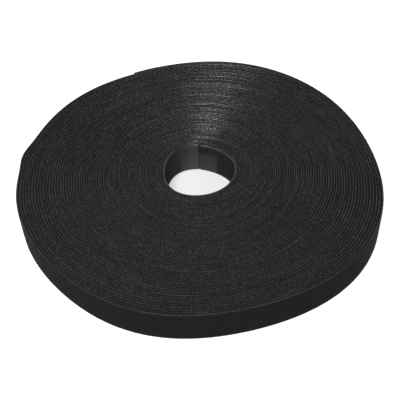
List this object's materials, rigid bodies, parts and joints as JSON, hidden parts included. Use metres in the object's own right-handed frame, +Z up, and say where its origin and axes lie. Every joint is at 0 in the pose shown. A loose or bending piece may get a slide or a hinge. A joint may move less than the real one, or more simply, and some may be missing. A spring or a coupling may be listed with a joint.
{
  "type": "hook and loop tape roll",
  "caption": "Flat coreless roll of black back-to-back hook and loop tape, wound in one spiral round an open centre hole, with a loose outer end that peels off.",
  "frame": {"origin": "centre of the lower face, on the axis of the centre hole", "axes": "+Z up along the axis of the hole, +X to the right and +Y away from the picture's camera; the winding grows counter-clockwise seen from above"},
  "size_m": [0.1975, 0.1968, 0.0191],
  "materials": {
    "hook_fabric": "black woven nylon tape with cut hooks, slight sheen",
    "loop_fabric": "black napped nylon loop pile, matt",
    "packed_fabric": "edges of the packed black tape turns, woven selvages"
  },
  "bodies": {
    "wound_roll": {"packed_middle_turns": "packed_fabric", "hook_strip_inner_turns": "hook_fabric", "loop_strip_inner_turns": "loop_fabric", "hook_strip_outer_turns": "hook_fabric", "loop_strip_outer_turns": "loop_fabric"},
    "free_end": {"hook_strip_free_end": "hook_fabric", "loop_strip_free_end": "loop_fabric"}
  },
  "joints": [
    {"name": "free_end_peel", "type": "hinge", "parent": "wound_roll", "child": "free_end", "pos_m": [0.03768, 0.09326, 0.00953], "axis": [0, 0, -1], "range_deg": [0, 80]}
  ]
}
